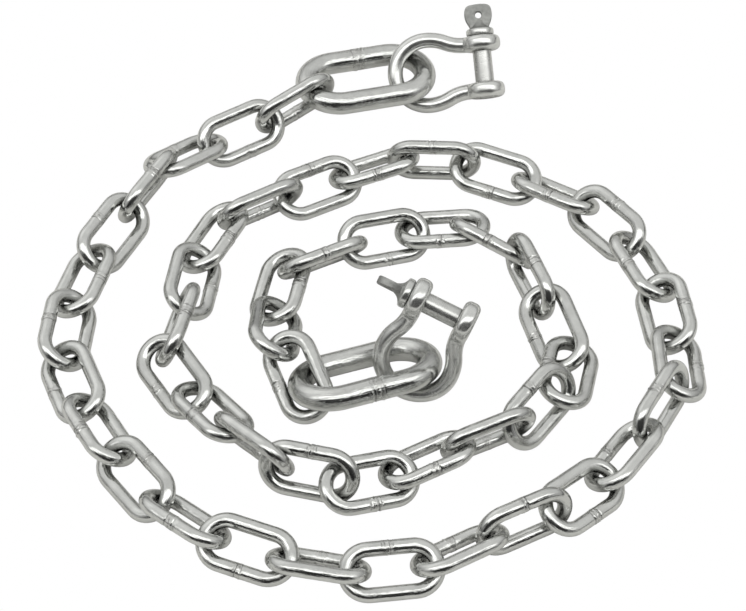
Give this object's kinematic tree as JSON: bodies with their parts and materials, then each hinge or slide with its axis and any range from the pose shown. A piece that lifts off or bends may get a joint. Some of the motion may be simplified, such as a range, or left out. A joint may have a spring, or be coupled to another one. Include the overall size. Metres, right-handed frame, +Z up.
{
  "type": "anchor chain lead with shackles",
  "caption": "Short-link stainless chain lead coiled flat, with a heavier end link and a screw-pin bow shackle at each end, for joining an anchor to its line.",
  "frame": {"origin": "on the ground under the middle of the coil: the centre of the bounding box in x and y, and the lowest point of the steel in z", "axes": "+Z up; +X to the right and +Y away when the coil is seen from the front, with the outer end at the back"},
  "size_m": [0.277, 0.3052, 0.0539],
  "materials": {
    "link_steel": "polished",
    "end_link_steel": "polished",
    "bow_steel": "polished",
    "pin_steel": "satin, cast head and turned shaft"
  },
  "bodies": {
    "end_link_outer": {"end_link_outer": "end_link_steel"},
    "link_01": {"link_01": "link_steel"},
    "link_02": {"link_02": "link_steel"},
    "link_03": {"link_03": "link_steel"},
    "link_04": {"link_04": "link_steel"},
    "link_05": {"link_05": "link_steel"},
    "link_06": {"link_06": "link_steel"},
    "link_07": {"link_07": "link_steel"},
    "link_08": {"link_08": "link_steel"},
    "link_09": {"link_09": "link_steel"},
    "link_10": {"link_10": "link_steel"},
    "link_11": {"link_11": "link_steel"},
    "link_12": {"link_12": "link_steel"},
    "link_13": {"link_13": "link_steel"},
    "link_14": {"link_14": "link_steel"},
    "link_15": {"link_15": "link_steel"},
    "link_16": {"link_16": "link_steel"},
    "link_17": {"link_17": "link_steel"},
    "link_18": {"link_18": "link_steel"},
    "link_19": {"link_19": "link_steel"},
    "link_20": {"link_20": "link_steel"},
    "link_21": {"link_21": "link_steel"},
    "link_22": {"link_22": "link_steel"},
    "link_23": {"link_23": "link_steel"},
    "link_24": {"link_24": "link_steel"},
    "link_25": {"link_25": "link_steel"},
    "link_26": {"link_26": "link_steel"},
    "link_27": {"link_27": "link_steel"},
    "link_28": {"link_28": "link_steel"},
    "link_29": {"link_29": "link_steel"},
    "link_30": {"link_30": "link_steel"},
    "link_31": {"link_31": "link_steel"},
    "link_32": {"link_32": "link_steel"},
    "link_33": {"link_33": "link_steel"},
    "link_34": {"link_34": "link_steel"},
    "link_35": {"link_35": "link_steel"},
    "link_36": {"link_36": "link_steel"},
    "link_37": {"link_37": "link_steel"},
    "link_38": {"link_38": "link_steel"},
    "link_39": {"link_39": "link_steel"},
    "link_40": {"link_40": "link_steel"},
    "link_41": {"link_41": "link_steel"},
    "link_42": {"link_42": "link_steel"},
    "link_43": {"link_43": "link_steel"},
    "link_44": {"link_44": "link_steel"},
    "link_45": {"link_45": "link_steel"},
    "link_46": {"link_46": "link_steel"},
    "link_47": {"link_47": "link_steel"},
    "link_48": {"link_48": "link_steel"},
    "link_49": {"link_49": "link_steel"},
    "link_50": {"link_50": "link_steel"},
    "end_link_inner": {"end_link_inner": "end_link_steel"},
    "shackle_bow_outer": {"shackle_bow_outer": "bow_steel"},
    "shackle_pin_outer": {"shackle_pin_outer": "pin_steel"},
    "shackle_bow_inner": {"shackle_bow_inner": "bow_steel"},
    "shackle_pin_inner": {"shackle_pin_inner": "pin_steel"}
  },
  "joints": [
    {"name": "pin_draw_outer", "type": "slide", "parent": "shackle_bow_outer", "child": "shackle_pin_outer", "axis": [-0.1023, 0.7762, 0.6221], "range_m": [0, 0.03]},
    {"name": "pin_draw_inner", "type": "slide", "parent": "shackle_bow_inner", "child": "shackle_pin_inner", "axis": [-0.8958, 0.3507, 0.2729], "range_m": [0, 0.03]},
    {"name": "bow_swing_outer", "type": "hinge", "parent": "end_link_outer", "child": "shackle_bow_outer", "pos_m": [0.01781, 0.13534, 0.01396], "axis": [-0.26, 0.9229, -0.2839], "range_deg": [-30, 15]},
    {"name": "bow_swing_inner", "type": "hinge", "parent": "end_link_inner", "child": "shackle_bow_inner", "pos_m": [0.02086, -0.0459, 0.01755], "axis": [0.3245, 0.9459, -0.0005], "range_deg": [-45, 45]},
    {"name": "end_link_swing_outer", "type": "hinge", "parent": "link_01", "child": "end_link_outer", "pos_m": [-0.02638, 0.11145, 0.01601], "axis": [0.6759, -0.7157, -0.1759], "range_deg": [-45, 45]},
    {"name": "end_link_swing_inner", "type": "hinge", "parent": "link_50", "child": "end_link_inner", "pos_m": [-0.02168, -0.04571, 0.01633], "axis": [0.1959, -0.8281, -0.5252], "range_deg": [-30, 30]},
    {"name": "link_swing_02_03", "type": "hinge", "parent": "link_03", "child": "link_02", "pos_m": [-0.07483, 0.08578, 0.00942], "axis": [0.3383, -0.6042, -0.7214], "range_deg": [-45, 45]},
    {"name": "link_swing_04_05", "type": "hinge", "parent": "link_05", "child": "link_04", "pos_m": [-0.10526, 0.05048, 0.01339], "axis": [0.857, -0.272, -0.4376], "range_deg": [-45, 45]},
    {"name": "link_swing_06_07", "type": "hinge", "parent": "link_07", "child": "link_06", "pos_m": [-0.12594, -0.00269, 0.00899], "axis": [-0.6385, 0.119, 0.7604], "range_deg": [-45, 45]},
    {"name": "link_swing_08_09", "type": "hinge", "parent": "link_09", "child": "link_08", "pos_m": [-0.11719, -0.06338, 0.00794], "axis": [0.6912, 0.3877, 0.6099], "range_deg": [-30, 45]},
    {"name": "link_swing_10_11", "type": "hinge", "parent": "link_11", "child": "link_10", "pos_m": [-0.08731, -0.10497, 0.00934], "axis": [-0.5995, -0.1869, 0.7783], "range_deg": [-45, 45]},
    {"name": "link_swing_12_13", "type": "hinge", "parent": "link_13", "child": "link_12", "pos_m": [-0.0313, -0.13552, 0.00888], "axis": [0.2105, 0.7734, 0.5979], "range_deg": [-45, 45]},
    {"name": "link_swing_14_15", "type": "hinge", "parent": "link_15", "child": "link_14", "pos_m": [0.01957, -0.14095, 0.01241], "axis": [0.1321, -0.5511, 0.8239], "range_deg": [-7.5, 45]},
    {"name": "link_swing_16_17", "type": "hinge", "parent": "link_17", "child": "link_16", "pos_m": [0.07757, -0.11358, 0.01326], "axis": [0.4872, -0.2303, 0.8424], "range_deg": [-7.5, 45]},
    {"name": "link_swing_18_19", "type": "hinge", "parent": "link_19", "child": "link_18", "pos_m": [0.10801, -0.07802, 0.00995], "axis": [0.6155, -0.2298, -0.7539], "range_deg": [-45, 7.5]},
    {"name": "link_swing_20_21", "type": "hinge", "parent": "link_21", "child": "link_20", "pos_m": [0.12434, -0.02868, 0.00659], "axis": [-0.6789, -0.1143, -0.7252], "range_deg": [-45, 15]},
    {"name": "link_swing_22_23", "type": "hinge", "parent": "link_23", "child": "link_22", "pos_m": [0.10537, 0.02709, 0.01204], "axis": [-0.6311, -0.6243, 0.4604], "range_deg": [-15, 45]},
    {"name": "link_swing_24_25", "type": "hinge", "parent": "link_25", "child": "link_24", "pos_m": [0.06621, 0.06542, 0.00872], "axis": [0.0704, 0.6681, -0.7408], "range_deg": [-45, 15]},
    {"name": "link_swing_26_27", "type": "hinge", "parent": "link_26", "child": "link_27", "pos_m": [0.00942, 0.07428, 0.01359], "axis": [0.3046, -0.4485, -0.8403], "range_deg": [-7.5, 45]},
    {"name": "link_swing_28_29", "type": "hinge", "parent": "link_28", "child": "link_29", "pos_m": [-0.04009, 0.05317, 0.00966], "axis": [-0.2984, 0.8554, 0.4233], "range_deg": [-45, 45]},
    {"name": "link_swing_30_31", "type": "hinge", "parent": "link_30", "child": "link_31", "pos_m": [-0.07731, 0.01632, 0.00666], "axis": [-0.7915, 0.4575, -0.4052], "range_deg": [-7.5, 45]},
    {"name": "link_swing_32_33", "type": "hinge", "parent": "link_32", "child": "link_33", "pos_m": [-0.07785, -0.03263, 0.01243], "axis": [-0.9644, 0.2566, 0.0642], "range_deg": [-45, 45]},
    {"name": "link_swing_34_35", "type": "hinge", "parent": "link_34", "child": "link_35", "pos_m": [-0.05929, -0.0742, 0.00456], "axis": [-0.0902, -0.3114, -0.946], "range_deg": [-7.5, 15]},
    {"name": "link_swing_36_37", "type": "hinge", "parent": "link_36", "child": "link_37", "pos_m": [-0.0157, -0.09851, 0.01131], "axis": [-0.2867, -0.8989, 0.3313], "range_deg": [-45, 45]},
    {"name": "link_swing_38_39", "type": "hinge", "parent": "link_38", "child": "link_39", "pos_m": [0.02972, -0.08321, 0.01845], "axis": [0.2288, -0.2795, -0.9325], "range_deg": [-7.5, 22.5]},
    {"name": "link_swing_40_41", "type": "hinge", "parent": "link_40", "child": "link_41", "pos_m": [0.07913, -0.05143, 0.01007], "axis": [-0.2908, -0.077, -0.9537], "range_deg": [-7.5, 22.5]},
    {"name": "link_swing_42_43", "type": "hinge", "parent": "link_42", "child": "link_43", "pos_m": [0.07647, -0.00379, 0.01316], "axis": [-0.954, -0.2962, 0.0463], "range_deg": [-45, 45]},
    {"name": "link_swing_44_45", "type": "hinge", "parent": "link_44", "child": "link_45", "pos_m": [0.04214, 0.02545, 0.0093], "axis": [0.5343, 0.7436, 0.4019], "range_deg": [-45, 30]},
    {"name": "link_swing_46_47", "type": "hinge", "parent": "link_46", "child": "link_47", "pos_m": [-0.01183, 0.02516, 0.0112], "axis": [0.3468, -0.8896, -0.2972], "range_deg": [-37.5, 45]},
    {"name": "link_swing_48_49", "type": "hinge", "parent": "link_48", "child": "link_49", "pos_m": [-0.04278, -0.00505, 0.01186], "axis": [-0.6062, 0.0961, 0.7895], "range_deg": [-30, 45]},
    {"name": "link_swing_01_02", "type": "hinge", "parent": "link_02", "child": "link_01", "pos_m": [-0.04228, 0.10025, 0.01167], "axis": [-0.6602, 0.6883, 0.3007], "range_deg": [-45, 45]},
    {"name": "link_swing_03_04", "type": "hinge", "parent": "link_04", "child": "link_03", "pos_m": [-0.08968, 0.0639, 0.01379], "axis": [-0.8293, 0.5104, 0.2273], "range_deg": [-45, 45]},
    {"name": "link_swing_05_06", "type": "hinge", "parent": "link_06", "child": "link_05", "pos_m": [-0.11661, 0.02594, 0.00864], "axis": [0.6641, -0.4362, 0.6072], "range_deg": [-45, 45]},
    {"name": "link_swing_07_08", "type": "hinge", "parent": "link_08", "child": "link_07", "pos_m": [-0.12962, -0.03069, 0.00679], "axis": [-0.7102, 0.0568, -0.7017], "range_deg": [-45, 45]},
    {"name": "link_swing_09_10", "type": "hinge", "parent": "link_10", "child": "link_09", "pos_m": [-0.1013, -0.08813, 0.00908], "axis": [0.6679, 0.4365, -0.6028], "range_deg": [-45, 45]},
    {"name": "link_swing_11_12", "type": "hinge", "parent": "link_12", "child": "link_11", "pos_m": [-0.06555, -0.12668, 0.00777], "axis": [-0.4725, -0.685, -0.5546], "range_deg": [-45, 37.5]},
    {"name": "link_swing_13_14", "type": "hinge", "parent": "link_14", "child": "link_13", "pos_m": [-0.01109, -0.13912, 0.00884], "axis": [-0.1511, -0.7221, -0.6751], "range_deg": [-45, 45]},
    {"name": "link_swing_15_16", "type": "hinge", "parent": "link_16", "child": "link_15", "pos_m": [0.04973, -0.12341, 0.00944], "axis": [-0.2757, 0.8699, -0.409], "range_deg": [-45, 45]},
    {"name": "link_swing_17_18", "type": "hinge", "parent": "link_18", "child": "link_17", "pos_m": [0.09681, -0.09503, 0.0071], "axis": [0.6192, -0.4531, -0.6413], "range_deg": [-45, 45]},
    {"name": "link_swing_19_20", "type": "hinge", "parent": "link_20", "child": "link_19", "pos_m": [0.12542, -0.04976, 0.00681], "axis": [0.3689, 0.1022, 0.9238], "range_deg": [-7.5, 45]},
    {"name": "link_swing_21_22", "type": "hinge", "parent": "link_22", "child": "link_21", "pos_m": [0.12185, 0.00686, 0.00707], "axis": [-0.6298, -0.1931, -0.7523], "range_deg": [-45, 15]},
    {"name": "link_swing_23_24", "type": "hinge", "parent": "link_24", "child": "link_23", "pos_m": [0.09647, 0.04764, 0.00959], "axis": [-0.4255, -0.6829, 0.5938], "range_deg": [-15, 45]},
    {"name": "link_swing_25_26", "type": "hinge", "parent": "link_25", "child": "link_26", "pos_m": [0.03907, 0.07389, 0.01405], "axis": [-0.414, -0.8715, -0.263], "range_deg": [-45, 45]},
    {"name": "link_swing_27_28", "type": "hinge", "parent": "link_27", "child": "link_28", "pos_m": [-0.00704, 0.06399, 0.01058], "axis": [-0.8112, 0.5848, -0.0008], "range_deg": [-45, 7.5]},
    {"name": "link_swing_29_30", "type": "hinge", "parent": "link_29", "child": "link_30", "pos_m": [-0.05994, 0.04817, 0.01046], "axis": [0.4505, -0.8925, -0.0227], "range_deg": [-45, 45]},
    {"name": "link_swing_31_32", "type": "hinge", "parent": "link_31", "child": "link_32", "pos_m": [-0.07843, -0.01163, 0.01065], "axis": [0.8165, -0.1489, -0.5579], "range_deg": [-45, 45]},
    {"name": "link_swing_33_34", "type": "hinge", "parent": "link_33", "child": "link_34", "pos_m": [-0.06902, -0.05555, 0.01349], "axis": [0.2558, 0.4072, 0.8768], "range_deg": [-45, 7.5]},
    {"name": "link_swing_35_36", "type": "hinge", "parent": "link_35", "child": "link_36", "pos_m": [-0.0378, -0.0873, 0.01697], "axis": [0.5841, 0.6855, 0.4347], "range_deg": [-45, 45]},
    {"name": "link_swing_37_38", "type": "hinge", "parent": "link_37", "child": "link_38", "pos_m": [0.01251, -0.09012, 0.01177], "axis": [0.3802, -0.5064, -0.774], "range_deg": [-7.5, 45]},
    {"name": "link_swing_39_40", "type": "hinge", "parent": "link_39", "child": "link_40", "pos_m": [0.06031, -0.06665, 0.00856], "axis": [-0.6512, 0.5339, -0.5394], "range_deg": [-45, 45]},
    {"name": "link_swing_41_42", "type": "hinge", "parent": "link_41", "child": "link_42", "pos_m": [0.07464, -0.03175, 0.01451], "axis": [-0.5367, -0.309, 0.7851], "range_deg": [-45, 15]},
    {"name": "link_swing_43_44", "type": "hinge", "parent": "link_43", "child": "link_44", "pos_m": [0.05878, 0.01185, 0.0158], "axis": [0.8968, 0.3953, -0.1986], "range_deg": [-45, 45]},
    {"name": "link_swing_45_46", "type": "hinge", "parent": "link_45", "child": "link_46", "pos_m": [0.01644, 0.03833, 0.01362], "axis": [-0.542, 0.5818, 0.6065], "range_deg": [-45, 7.5]},
    {"name": "link_swing_47_48", "type": "hinge", "parent": "link_47", "child": "link_48", "pos_m": [-0.03069, 0.01834, 0.01044], "axis": [0.3187, -0.9388, -0.1305], "range_deg": [-45, 45]},
    {"name": "link_swing_49_50", "type": "hinge", "parent": "link_49", "child": "link_50", "pos_m": [-0.03196, -0.03396, 0.00992], "axis": [-0.5962, -0.5335, 0.5999], "range_deg": [-22.5, 45]}
  ]
}
